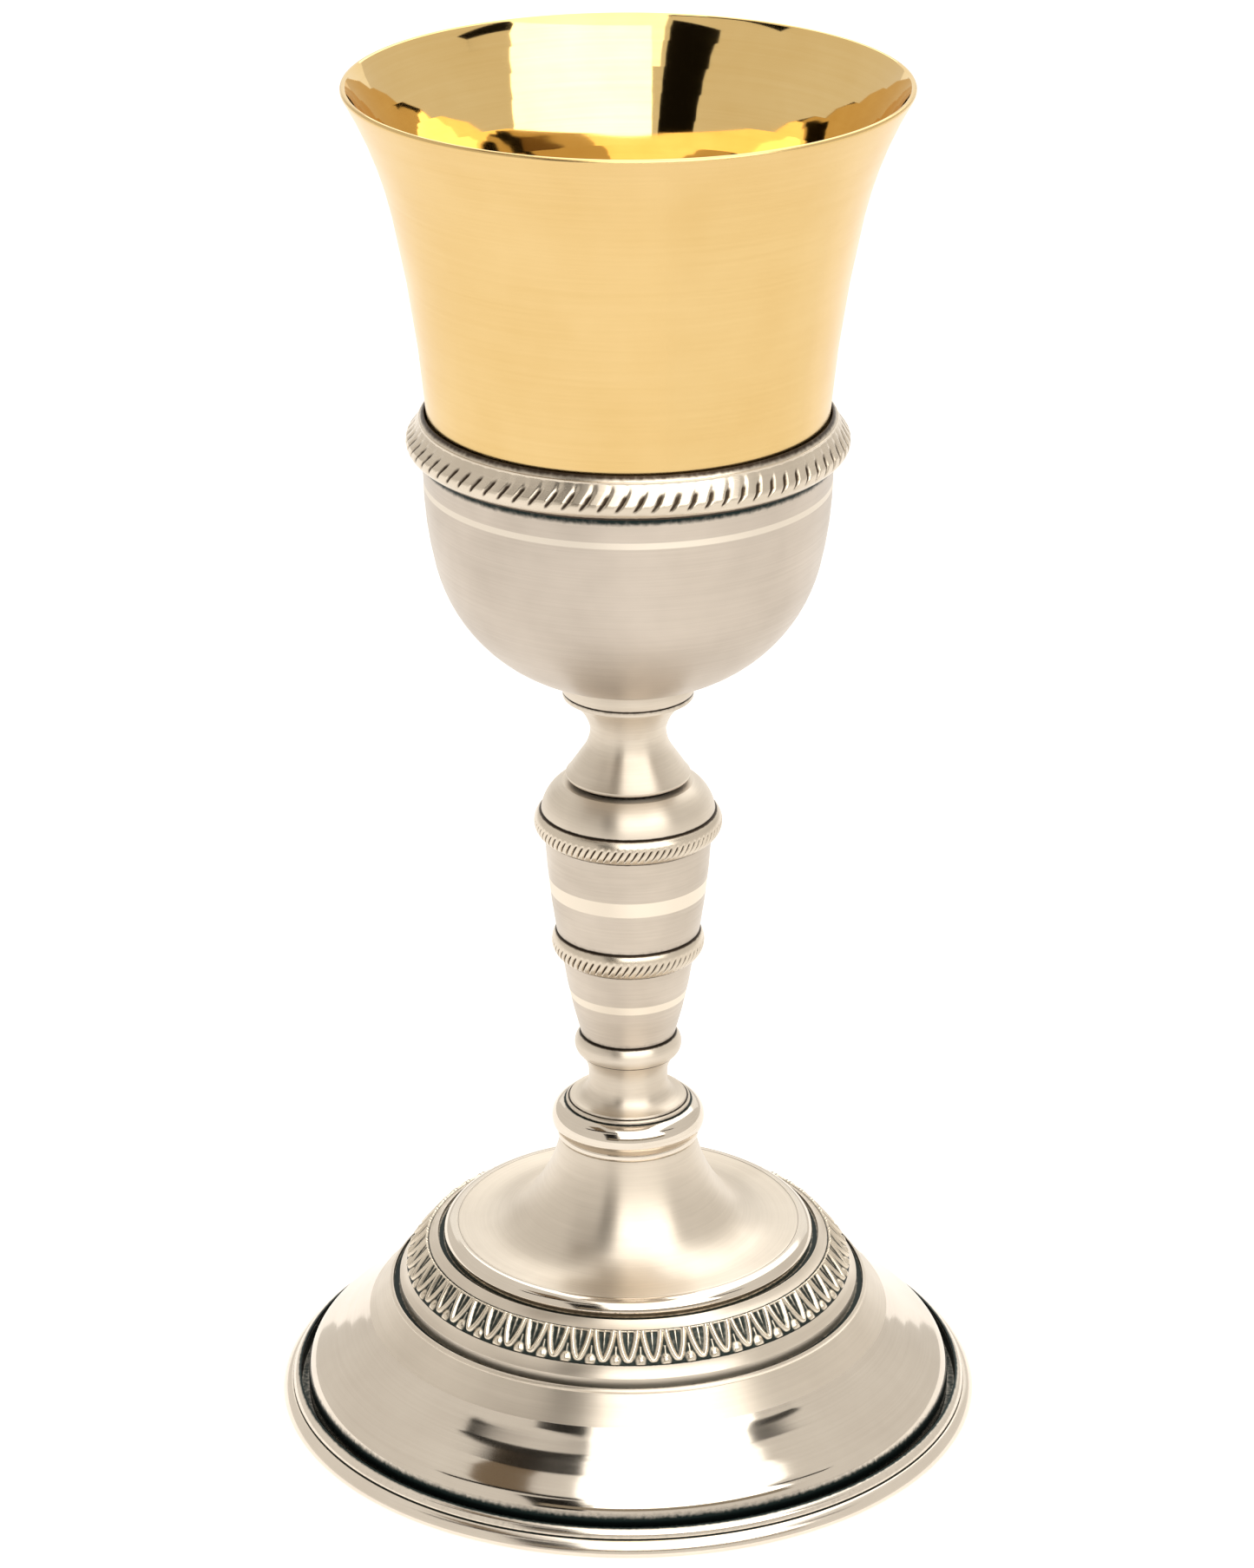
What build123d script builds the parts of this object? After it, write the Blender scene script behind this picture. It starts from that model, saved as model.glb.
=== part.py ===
from build123d import *
import math
import os

# A communion chalice: a gilt cup that screws on to the top of a tie rod, standing in a silver calyx.
# The rod runs down through a stack of turned and spun pieces, and a nut under the foot clamps them.
# Millimetres. Z is the axis, Z = 0 is the table, and the origin is the middle of the foot.

# Fits
rod_clearance = 0.05        # radial, between the rod and every bore on it
cup_clearance = 0.35        # radial, between the cup and the mouth of the calyx
inner_clearance = 0.4       # radial, between the boss in the foot and the trumpet round it

# Tie rod, nuts and washers
rod_radius = 3.0
rod_chamfer = 0.5
rod_below_nut = 9.0         # length of rod that hangs below the foot nut
thread_engaged = 4.5        # length of rod inside the boss of the cup
nut_across_flats = 10.0
nut_chamfer = 0.6
foot_nut_height = 5.0
foot_washer_radius = 9.0
foot_washer_height = 1.2
calyx_nut_height = 3.0
calyx_washer_radius = 8.5
calyx_washer_height = 1.0

# Base moulding
moulding_radius = 61.9
moulding_height = 4.6
moulding_crown = 3.2        # from the outside of the moulding to its inner edge
moulding_foot_radius = 1.2  # rounding where the moulding meets the table
moulding_line_drop = 1.5    # from the inner edge down to the scribed line
moulding_bulge = 0.15       # swell of the two rolls either side of the line
moulding_foot_bulge = 0.3
seat_height = 1.5           # ledge inside the moulding, which the dome stands on
seat_width = 6.0
shadow_groove = 1.4         # open groove between the moulding and the dome

# Foot dome
foot_wall = 1.2
dome_height = 19.7          # from the ledge of the moulding to the ledge under the tier
dome_top_radius = 42.5
dome_ledge_width = 4.5
dome_lip_height = 0.7
dome_lip_width = 0.6
dome_flare_radius = 56.0
dome_roll_width = 1.8
dome_roll_height = 3.4
dome_edge_height = 3.3      # upright edge below the roll

# Foot tier and its frieze
tier_height = 9.0           # from the ledge of the dome to the ledge under the trumpet
tier_bottom_radius = 40.7
tier_edge_height = 1.9
tier_top_radius = 34.4
tier_ledge_width = 4.6
tier_lip_height = 0.8
tier_lip_width = 0.6
frieze_bottom_radius = 39.35
frieze_bottom_rise = 3.9    # above the ledge of the dome
frieze_top_radius = 35.6
frieze_top_rise = 8.5
frieze_thickness = 0.6

# Foot trumpet
trumpet_height = 20.1       # from the ledge of the tier to the top
trumpet_top_radius = 11.9
trumpet_lean = 10.0         # degrees from upright at the top of the flare
throat_end_lean = 41.0      # degrees from upright where the arcs meet
flare_radius = 11.5         # arc of the lower flare
disc_height = 3.12          # from the ledge of the tier to the flat of the disc
disc_edge_radius = 32.7
disc_roll_width = 2.6
disc_roll_height = 1.6
disc_roll_radius = 3.0
foot_boss_height = 6.0

# Foot collar ring (the polished torus)
torus_height = 6.5
torus_radius = 13.45
torus_top_radius = 11.1
torus_top_height = 3.1      # from the widest line up to the top
torus_fillet_radius = 12.35
torus_fillet_height = 1.4
torus_bottom_radius = 12.65

# Lower spool
spool_height = 13.3
spool_base_radius = 10.9
spool_base_height = 0.6
spool_step_radius = 10.0
spool_step_height = 1.1
spool_cove = 3.1
spool_neck_radius = 6.9
spool_neck_height = 1.4
spool_bead_radius = 9.3
spool_bead_bottom_radius = 8.5
spool_bead_height = 3.8
spool_bead_widest = 1.4      # above the bottom of the bead
spool_top_radius = 8.3

# Knop: two tapered drums, two rope beads and a shoulder
lower_drum_height = 15.1
lower_drum_bottom_radius = 8.2
lower_drum_top_radius = 11.45
lower_drum_swell = 0.28
middle_bead_height = 4.6
middle_bead_widest = 1.9     # above the bottom of the bead
middle_bead_radius = 13.15
middle_bead_bottom_radius = 11.9
middle_bead_top_radius = 12.5
upper_drum_height = 18.0
upper_drum_bottom_radius = 12.4
upper_drum_top_radius = 14.4
upper_drum_swell = 0.25
upper_bead_height = 4.5
upper_bead_widest = 2.0      # above the bottom of the bead
upper_bead_radius = 16.2
upper_bead_bottom_radius = 14.7
upper_bead_top_radius = 15.1
shoulder_height = 5.3
shoulder_bottom_radius = 15.0
shoulder_mid_radius = 13.95
shoulder_mid_height = 2.9
shoulder_top_radius = 11.3
recess_radius = 9.2
recess_depth = 1.2

# Baluster under the calyx
baluster_height = 17.8      # from the floor of the recess to the collar
baluster_spigot_radius = 8.8
baluster_lift = 2.0         # from the floor of the recess to the underside of the bell
bell_radius = 10.7
bell_nose_height = 0.7
bell_nose_width = 0.35
bell_nose_bulge = 0.17
bell_flare_height = 4.6     # from the underside up to where the straight flare starts
bell_flare_radius = 7.95
neck_radius = 6.5
neck_height = 8.9           # from the underside of the bell to the narrowest line
baluster_top_radius = 11.2
baluster_rim_height = 0.9
baluster_flare_radius = 8.4
baluster_flare_drop = 2.1    # below the rim

# Collar under the calyx
collar_height = 2.7
collar_bottom_radius = 11.2
collar_top_radius = 11.7
collar_bulge = 0.2

# Calyx
calyx_wall = 1.0
calyx_seat_radius = 11.2
calyx_lower_radius = 28.15  # arc of the lower bowl
calyx_waist_radius = 32.45
calyx_waist_rise = 20.9
calyx_side_radius = 34.35
calyx_side_rise = 36.6
calyx_rim_height = 2.0      # upright stretch at the top, inside the band
calyx_height = 47.4         # from the seat to the top of the band

# Rope band round the mouth of the calyx
band_height = 7.2
band_cap = 0.9              # part of the band that stands over the edge of the calyx
band_top_width = 0.25
band_radius = 37.15
band_nose_height = 2.0
band_shoulder_radius = 37.0
band_shoulder_height = 3.1
band_slope_radius = 35.65
band_slope_height = 5.0
band_under_radius = 36.5
band_under_height = 0.9
band_bottom_radius = 35.3

# Cup
cup_wall = 1.0
cup_boss_radius = 8.0
cup_boss_height = 5.0
cup_corner_radius = 24.0    # rounding of the bowl inside the calyx
cup_throat_radius = 33.7    # where the cup comes out of the calyx
cup_throat_lean = 4.7       # degrees from upright, there and below
cup_flare_radius = 38.87
cup_flare_height = 34.4     # above the mouth of the calyx
cup_mouth_radius = 46.87
cup_mouth_height = 55.02    # above the mouth of the calyx

# Worked out from the sizes above
bore_radius = rod_radius + rod_clearance
dome_radius = moulding_radius - moulding_crown - shadow_groove
dome_ledge_z = seat_height + dome_height
tier_ledge_z = dome_ledge_z + tier_height
foot_top_z = tier_ledge_z + trumpet_height
torus_top_z = foot_top_z + torus_height
spool_top_z = torus_top_z + spool_height
lower_drum_top_z = spool_top_z + lower_drum_height
middle_bead_top_z = lower_drum_top_z + middle_bead_height
upper_drum_top_z = middle_bead_top_z + upper_drum_height
upper_bead_top_z = upper_drum_top_z + upper_bead_height
shoulder_top_z = upper_bead_top_z + shoulder_height
recess_z = shoulder_top_z - recess_depth
baluster_top_z = recess_z + baluster_height
calyx_z = baluster_top_z + collar_height
calyx_floor_z = calyx_z + calyx_wall
calyx_nut_z = calyx_floor_z + calyx_washer_height
cup_boss_z = calyx_nut_z + calyx_nut_height
cup_z = cup_boss_z + cup_boss_height
foot_boss_z = foot_top_z - foot_wall - foot_boss_height
foot_boss_radius = trumpet_top_radius - foot_wall - inner_clearance
foot_washer_z = foot_boss_z - foot_washer_height
foot_nut_z = foot_washer_z - foot_nut_height
calyx_mouth_z = calyx_z + calyx_height
mouth_radius = cup_throat_radius + cup_clearance
calyx_edge_z = calyx_mouth_z - band_cap
calyx_edge_radius = mouth_radius + calyx_wall


def turned(*outlines):
    """The solid that closed outlines sweep round the axis. In an outline, X is radius and Y is height."""
    faces = [make_face(outline) for outline in outlines]
    profile = faces[0]
    for face in faces[1:]:
        profile = profile + face
    return revolve(Plane.XZ * profile, Axis.Z, 360)


def ring(inner, outer, bottom, top):
    """A plain ring between two radii and two heights."""
    return Polyline((inner, bottom), (outer, bottom), (outer, top), (inner, top), (inner, bottom))


def shell(path, wall, side):
    """The closed outline of a sheet of even wall, on one side of a path of arcs and lines."""
    return offset(Wire(path), wall, side=side, closed=True).edges()


def drum(bottom, height, bottom_radius, top_radius, swell):
    """A tapered drum, bored for the rod, with a slightly swollen side."""
    side = SagittaArc((bottom_radius, bottom), (top_radius, bottom + height), -swell)
    rest = Polyline((top_radius, bottom + height), (bore_radius, bottom + height), (bore_radius, bottom),
                    (bottom_radius, bottom))
    return turned(side + rest)


def bead(bottom, height, widest, bottom_radius, radius, top_radius):
    """A bored ring with a rounded edge, which is widest at a height of its own."""
    side = ThreePointArc((bottom_radius, bottom), (radius, bottom + widest), (top_radius, bottom + height))
    rest = Polyline((top_radius, bottom + height), (bore_radius, bottom + height), (bore_radius, bottom),
                    (bottom_radius, bottom))
    return turned(side + rest)


def hex_nut(bottom, height):
    """A plain hexagon nut, with its outer corners turned down."""
    hexagon = RegularPolygon(nut_across_flats / 2, 6, major_radius=False)
    body = Pos(0, 0, bottom) * extrude(hexagon - Circle(bore_radius), height)
    corner = nut_across_flats / math.sqrt(3)
    top = bottom + height
    trim = turned(Polyline((0, bottom), (corner - nut_chamfer, bottom), (corner, bottom + nut_chamfer),
                           (corner, top - nut_chamfer), (corner - nut_chamfer, top), (0, top), (0, bottom)))
    return body & trim


def base_moulding():
    """The ring on the table, with two rolls, a scribed line between them and a ledge for the dome."""
    inner_edge = moulding_radius - moulding_crown
    line_radius = inner_edge + moulding_line_drop
    line_z = moulding_height - moulding_line_drop
    ledge_radius = dome_radius - seat_width
    foot = (moulding_radius - moulding_foot_radius, 0)
    outside = (moulding_radius, moulding_foot_radius)
    rolls = SagittaArc(foot, outside, -moulding_foot_bulge)
    rolls += SagittaArc(outside, (line_radius, line_z), -moulding_bulge)
    rolls += SagittaArc((line_radius, line_z), (inner_edge, moulding_height), -moulding_bulge)
    rest = Polyline((inner_edge, moulding_height), (inner_edge, seat_height), (ledge_radius, seat_height),
                    (ledge_radius, 0), foot)
    return turned(rolls + rest)


def lip(top_radius, ledge_z, width, height, foot_point):
    """The small upstanding lip at the outside of a ledge, sloping down to a point on the sheet below."""
    inner = top_radius - width
    buried = (foot_point[0] - width / 2, foot_point[1] - foot_wall / 2)
    return Polyline((inner, ledge_z - foot_wall / 2), (inner, ledge_z + height),
                    (inner + width / 2, ledge_z + height), foot_point, buried,
                    (inner, ledge_z - foot_wall / 2))


def foot_dome():
    """The spun dome: a ledge for the tier, a hollow flare, a roll and an upright edge."""
    edge_top_z = seat_height + dome_edge_height
    roll = (dome_radius - dome_roll_width, edge_top_z + dome_roll_height)
    top = (dome_top_radius, dome_ledge_z)
    flare = RadiusArc(top, roll, -dome_flare_radius)
    path = [Line((dome_top_radius - dome_ledge_width, dome_ledge_z), top), flare,
            TangentArc(roll, (dome_radius, edge_top_z), tangent=flare % 1),
            Line((dome_radius, edge_top_z), (dome_radius, seat_height))]
    return turned(shell(path, foot_wall, Side.RIGHT),
                  lip(dome_top_radius, dome_ledge_z, dome_lip_width, dome_lip_height, top))


def frieze_outline():
    """The section of the leaf strip, let into the slope of the tier."""
    top = Vector(frieze_top_radius, dome_ledge_z + frieze_top_rise)
    bottom = Vector(frieze_bottom_radius, dome_ledge_z + frieze_bottom_rise)
    inward = (bottom - top).normalized().rotate(Axis.Z, -90) * frieze_thickness
    return Polyline(top, bottom, bottom + inward, top + inward, top)


def foot_tier():
    """The spun tier: a ledge for the trumpet, a slope with a bed for the leaf strip, and an upright edge."""
    top = (tier_top_radius, tier_ledge_z)
    frieze_top = (frieze_top_radius, dome_ledge_z + frieze_top_rise)
    frieze_bottom = (frieze_bottom_radius, dome_ledge_z + frieze_bottom_rise)
    path = Polyline((tier_top_radius - tier_ledge_width, tier_ledge_z), top, frieze_top, frieze_bottom,
                    (tier_bottom_radius, dome_ledge_z + tier_edge_height), (tier_bottom_radius, dome_ledge_z))
    outline = lip(tier_top_radius, tier_ledge_z, tier_lip_width, tier_lip_height, frieze_top)
    return turned(shell(path.edges(), foot_wall, Side.RIGHT), outline) - turned(frieze_outline())


def foot_trumpet():
    """The spun trumpet: a flat top bored for the rod, a flare of two arcs and a disc with a rolled edge."""
    lean = math.radians(trumpet_lean)
    throat_end = math.radians(throat_end_lean)
    disc_z = tier_ledge_z + disc_height
    throat_z = disc_z + flare_radius * (1 - math.sin(throat_end))
    throat_radius = (foot_top_z - throat_z) / (math.sin(throat_end) - math.sin(lean))
    throat_width = throat_radius * (math.cos(lean) - math.cos(throat_end))
    top = (trumpet_top_radius, foot_top_z)
    throat = (trumpet_top_radius + throat_width, throat_z)
    disc = (throat[0] + flare_radius * math.cos(throat_end), disc_z)
    roll = (disc_edge_radius - disc_roll_width, disc_z)
    edge_z = disc_z - disc_roll_height
    path = [Line((bore_radius, foot_top_z), top), RadiusArc(top, throat, -throat_radius),
            RadiusArc(throat, disc, -flare_radius), Line(disc, roll),
            RadiusArc(roll, (disc_edge_radius, edge_z), disc_roll_radius),
            Line((disc_edge_radius, edge_z), (disc_edge_radius, tier_ledge_z))]
    return turned(shell(path, foot_wall, Side.RIGHT))


def foot_collar_ring():
    """The polished ring at the top of the foot, with a narrow fillet under it."""
    fillet_top_z = foot_top_z + torus_fillet_height
    widest_z = torus_top_z - torus_top_height
    roll = ThreePointArc((torus_bottom_radius, fillet_top_z), (torus_radius, widest_z),
                         (torus_top_radius, torus_top_z))
    rest = Polyline((torus_top_radius, torus_top_z), (bore_radius, torus_top_z), (bore_radius, foot_top_z),
                    (torus_fillet_radius, foot_top_z), (torus_fillet_radius, fillet_top_z),
                    (torus_bottom_radius, fillet_top_z))
    return turned(roll + rest)


def lower_spool():
    """The turned spool: a stepped base, a cove, a neck and a bead that runs down into the neck."""
    step_z = torus_top_z + spool_step_height
    neck_bottom_z = step_z + spool_cove
    neck_top_z = neck_bottom_z + spool_neck_height
    bead_bottom_z = spool_top_z - spool_bead_height
    neck = (spool_neck_radius, neck_bottom_z)
    bead_bottom = (spool_bead_bottom_radius, bead_bottom_z)
    side = Polyline((spool_base_radius, torus_top_z), (spool_base_radius, torus_top_z + spool_base_height),
                    (spool_step_radius, step_z))
    side += RadiusArc((spool_neck_radius + spool_cove, step_z), neck, spool_cove)
    side += Line(neck, (spool_neck_radius, neck_top_z))
    side += TangentArc((spool_neck_radius, neck_top_z), bead_bottom, tangent=(0, 1))
    side += ThreePointArc(bead_bottom, (spool_bead_radius, bead_bottom_z + spool_bead_widest),
                          (spool_top_radius, spool_top_z))
    rest = Polyline((spool_top_radius, spool_top_z), (bore_radius, spool_top_z), (bore_radius, torus_top_z),
                    (spool_base_radius, torus_top_z))
    return turned(side + rest)


def knop_shoulder():
    """The domed top of the knop, with a sunk recess that the baluster stands in."""
    side = ThreePointArc((shoulder_bottom_radius, upper_bead_top_z),
                         (shoulder_mid_radius, upper_bead_top_z + shoulder_mid_height),
                         (shoulder_top_radius, shoulder_top_z))
    rest = Polyline((shoulder_top_radius, shoulder_top_z), (recess_radius, shoulder_top_z),
                    (recess_radius, recess_z), (bore_radius, recess_z), (bore_radius, upper_bead_top_z),
                    (shoulder_bottom_radius, upper_bead_top_z))
    return turned(side + rest)


def baluster():
    """The turned piece over the knop: a spigot, a bell, a waist and a flared top."""
    bell_z = recess_z + baluster_lift
    under = (bell_radius - bell_nose_width, bell_z)
    nose = (bell_radius, bell_z + bell_nose_height)
    neck = (neck_radius, bell_z + neck_height)
    rim = (baluster_top_radius, baluster_top_z - baluster_rim_height)
    flare_top = (bell_flare_radius, bell_z + bell_flare_height)
    side = Polyline((baluster_spigot_radius, recess_z), (baluster_spigot_radius, bell_z), under)
    side += SagittaArc(under, nose, -bell_nose_bulge)
    side += Line(nose, flare_top)
    side += TangentArc(neck, flare_top, tangent=(0, -1))
    side += ThreePointArc(neck, (baluster_flare_radius, rim[1] - baluster_flare_drop), rim)
    rest = Polyline(rim, (baluster_top_radius, baluster_top_z), (bore_radius, baluster_top_z),
                    (bore_radius, recess_z), (baluster_spigot_radius, recess_z))
    return turned(side + rest)


def under_cup_collar():
    """The ring that the calyx stands on."""
    side = SagittaArc((collar_bottom_radius, baluster_top_z), (collar_top_radius, calyx_z), -collar_bulge)
    rest = Polyline((collar_top_radius, calyx_z), (bore_radius, calyx_z), (bore_radius, baluster_top_z),
                    (collar_bottom_radius, baluster_top_z))
    return turned(side + rest)


def calyx_outside(z):
    """The outside radius of the calyx between its side and its upright rim."""
    side_z = calyx_z + calyx_side_rise
    share = (z - side_z) / (calyx_edge_z - calyx_rim_height - side_z)
    return calyx_side_radius + (calyx_edge_radius - calyx_side_radius) * share


def calyx():
    """The spun calyx: a seat with a hole for the rod, a bowl of two arcs and a side that opens a little."""
    waist = (calyx_waist_radius, calyx_z + calyx_waist_rise)
    side = (calyx_side_radius, calyx_z + calyx_side_rise)
    rim = (calyx_edge_radius, calyx_edge_z - calyx_rim_height)
    bowl = RadiusArc((calyx_seat_radius, calyx_z), waist, -calyx_lower_radius)
    path = [Line((bore_radius, calyx_z), (calyx_seat_radius, calyx_z)), bowl,
            TangentArc(waist, side, tangent=bowl % 1), Line(side, rim),
            Line(rim, (calyx_edge_radius, calyx_edge_z))]
    return turned(shell(path, calyx_wall, Side.LEFT))


def calyx_rope_band():
    """The rope band, which caps the edge of the calyx and laps down its outside."""
    bottom_z = calyx_mouth_z - band_height
    bore = calyx_outside(bottom_z)
    under = (band_under_radius, bottom_z + band_under_height)
    shoulder = (band_shoulder_radius, bottom_z + band_shoulder_height)
    top = (mouth_radius + band_top_width, calyx_mouth_z)
    side = Polyline((bore, bottom_z), (band_bottom_radius, bottom_z), under)
    side += ThreePointArc(under, (band_radius, bottom_z + band_nose_height), shoulder)
    side += ThreePointArc(shoulder, (band_slope_radius, bottom_z + band_slope_height), top)
    rest = Polyline(top, (mouth_radius, calyx_mouth_z), (mouth_radius, calyx_edge_z),
                    (calyx_edge_radius, calyx_edge_z), (calyx_edge_radius, calyx_edge_z - calyx_rim_height),
                    (bore, bottom_z))
    return turned(side + rest)


def cup():
    """The gilt cup: a round bottom, a side that leans out a little and a flare of two arcs to a rounded lip."""
    lean = math.radians(cup_throat_lean)
    side_z = cup_z + cup_corner_radius * (1 - math.sin(lean))
    side_radius = cup_throat_radius - (calyx_mouth_z - side_z) * math.tan(lean)
    floor = (side_radius - cup_corner_radius * math.cos(lean), cup_z)
    throat = (cup_throat_radius, calyx_mouth_z)
    flare = (cup_flare_radius, calyx_mouth_z + cup_flare_height)
    upright = (math.sin(lean), math.cos(lean))
    lower = TangentArc(throat, flare, tangent=upright)
    upper = TangentArc(flare, (cup_mouth_radius, calyx_mouth_z + cup_mouth_height), tangent=lower % 1)
    path = [Line((0, cup_z), floor), TangentArc(floor, (side_radius, side_z), tangent=(1, 0)),
            Line((side_radius, side_z), throat), lower, upper]
    lip_centre = (upper @ 1) + (upper % 1).rotate(Axis.Z, 90) * (cup_wall / 2)
    rounding = (Pos(lip_centre.X, lip_centre.Y) * Circle(cup_wall / 2)).edges()
    return turned(shell(path, cup_wall, Side.LEFT), rounding)


def tie_rod():
    """The rod from under the foot nut up into the boss of the cup, with its ends turned down."""
    bottom_z = foot_nut_z - rod_below_nut
    top_z = cup_boss_z + thread_engaged
    tip = rod_radius - rod_chamfer
    return turned(Polyline((0, bottom_z), (tip, bottom_z), (rod_radius, bottom_z + rod_chamfer),
                           (rod_radius, top_z - rod_chamfer), (tip, top_z), (0, top_z), (0, bottom_z)))


parts = {
    "base_moulding": base_moulding(),
    "foot_dome": foot_dome(),
    "foot_tier": foot_tier(),
    "leaf_frieze": turned(frieze_outline()),
    "foot_trumpet": foot_trumpet(),
    "foot_boss": turned(ring(bore_radius, foot_boss_radius, foot_boss_z, foot_top_z - foot_wall)),
    "foot_washer": turned(ring(bore_radius, foot_washer_radius, foot_washer_z, foot_boss_z)),
    "foot_nut": hex_nut(foot_nut_z, foot_nut_height),
    "foot_collar_ring": foot_collar_ring(),
    "lower_spool": lower_spool(),
    "knop_lower_drum": drum(spool_top_z, lower_drum_height, lower_drum_bottom_radius,
                            lower_drum_top_radius, lower_drum_swell),
    "knop_middle_bead": bead(lower_drum_top_z, middle_bead_height, middle_bead_widest,
                             middle_bead_bottom_radius, middle_bead_radius, middle_bead_top_radius),
    "knop_upper_drum": drum(middle_bead_top_z, upper_drum_height, upper_drum_bottom_radius,
                            upper_drum_top_radius, upper_drum_swell),
    "knop_upper_bead": bead(upper_drum_top_z, upper_bead_height, upper_bead_widest,
                            upper_bead_bottom_radius, upper_bead_radius, upper_bead_top_radius),
    "knop_shoulder": knop_shoulder(),
    "baluster": baluster(),
    "under_cup_collar": under_cup_collar(),
    "calyx": calyx(),
    "calyx_rope_band": calyx_rope_band(),
    "calyx_washer": turned(ring(bore_radius, calyx_washer_radius, calyx_floor_z, calyx_nut_z)),
    "calyx_nut": hex_nut(calyx_nut_z, calyx_nut_height),
    "tie_rod": tie_rod(),
    "cup_boss": turned(ring(bore_radius, cup_boss_radius, cup_boss_z, cup_z)),
    "cup": cup(),
}

os.makedirs("parts", exist_ok=True)
for name, part in parts.items():
    export_step(part, "parts/" + name + ".step")
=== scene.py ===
import math

import bpy
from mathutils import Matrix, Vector


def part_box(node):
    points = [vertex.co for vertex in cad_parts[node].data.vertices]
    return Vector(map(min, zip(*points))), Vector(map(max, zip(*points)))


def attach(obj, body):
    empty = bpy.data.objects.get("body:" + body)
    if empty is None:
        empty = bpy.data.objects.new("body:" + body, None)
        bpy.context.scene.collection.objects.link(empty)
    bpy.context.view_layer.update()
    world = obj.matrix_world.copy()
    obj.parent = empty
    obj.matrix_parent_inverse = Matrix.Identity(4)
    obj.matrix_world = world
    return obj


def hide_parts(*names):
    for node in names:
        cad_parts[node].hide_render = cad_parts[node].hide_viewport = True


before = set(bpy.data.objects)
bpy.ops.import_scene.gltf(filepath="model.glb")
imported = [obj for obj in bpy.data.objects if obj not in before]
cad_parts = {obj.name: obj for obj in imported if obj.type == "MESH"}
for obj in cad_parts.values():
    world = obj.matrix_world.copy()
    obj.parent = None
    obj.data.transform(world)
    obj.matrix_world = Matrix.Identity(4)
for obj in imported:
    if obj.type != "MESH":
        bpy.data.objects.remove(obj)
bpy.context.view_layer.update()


# ---- Base moulding
# The ring that the chalice stands on. It is cast brass, turned to two rolls with a line scribed between
# them, buffed and silver plated. The dome is soldered down on its inner ledge, inside an open groove.

mm = 0.001
sharp_corner = math.radians(14)     # a corner that turns more than this is rounded off
darkening_step = 0.22                   # how finely an outline is divided where the oxide and the painted shade fade, in millimetres


def extent(node):
    """The bottom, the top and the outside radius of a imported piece, in millimetres."""
    low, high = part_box(node)
    return low.z / mm, high.z / mm, high.x / mm


def through(start, middle, end, step=4.0):
    """The arc from start, which is left out, through middle to end, with a point every few degrees."""
    (ax, ay), (bx, by), (cx, cy) = start, middle, end
    twice = 2 * (ax * (by - cy) + bx * (cy - ay) + cx * (ay - by))
    a, b, c = ax * ax + ay * ay, bx * bx + by * by, cx * cx + cy * cy
    x = (a * (by - cy) + b * (cy - ay) + c * (ay - by)) / twice
    y = (a * (cx - bx) + b * (ax - cx) + c * (bx - ax)) / twice
    radius = math.hypot(ax - x, ay - y)
    first = math.atan2(ay - y, ax - x)
    turn = (math.atan2(cy - y, cx - x) - first) % math.tau
    if (math.atan2(by - y, bx - x) - first) % math.tau > turn:
        turn -= math.tau
    count = max(3, math.ceil(abs(math.degrees(turn)) / step))
    angles = [first + turn * i / count for i in range(1, count)]
    return [(x + radius * math.cos(t), y + radius * math.sin(t)) for t in angles] + [end]


def bow(start, end, rise):
    """An arc that stands off the straight line by rise, to the left of the way from start to end."""
    chord = Vector(end) - Vector(start)
    middle = (Vector(start) + Vector(end)) / 2 + Vector((-chord.y, chord.x)).normalized() * rise
    return through(start, middle, end)


def softened(outline, radius):
    """The closed outline with its sharp corners rounded, and a point close beside each rounding."""
    points = [Vector(p) for i, p in enumerate(outline)
              if (Vector(p) - Vector(outline[i - 1])).length > 1e-6]
    result = []
    for i, corner in enumerate(points):
        back, on = points[i - 1] - corner, points[(i + 1) % len(points)] - corner
        turn = math.pi - back.angle(on)
        if turn < sharp_corner or corner.x < 1e-6:
            result.append(corner)
            continue
        reach = min(radius * math.tan(min(turn, 2.4) / 2), 0.4 * back.length, 0.4 * on.length)
        start, end = corner + back.normalized() * reach, corner + on.normalized() * reach
        result.append(corner + back.normalized() * min(1.3 * reach, 0.45 * back.length))
        result += [start * (1 - t) ** 2 + corner * 2 * t * (1 - t) + end * t * t
                   for t in (0, .2, .4, .6, .8, 1)]
        result.append(corner + on.normalized() * min(1.3 * reach, 0.45 * on.length))
    return result


def darkness(point, marks):
    """How dark a point of an outline is: oxide at joints and painted shade in grooves, recesses and under
    overhangs settle round each mark and fade with distance.
    """
    return max([0.0] + [1 - (point - Vector(m[:2])).length / m[2] for m in marks])


def divided(outline, marks, longest):
    """The outline with its long straights divided, finely where the oxide and the painted shade fade."""
    result = []
    for a, b in zip(outline, outline[1:] + outline[:1]):
        result.append(a)
        count = math.ceil((b - a).length / darkening_step)
        for i in range(1, count):
            point = a.lerp(b, i / count)
            if darkness(point, marks) > 0 or (point - result[-1]).length > longest:
                result.append(point)
    return result


def placed(name, data):
    """A new object in the scene, at the origin."""
    piece = bpy.data.objects.new(name, data)
    bpy.context.scene.collection.objects.link(piece)
    return piece


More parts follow.
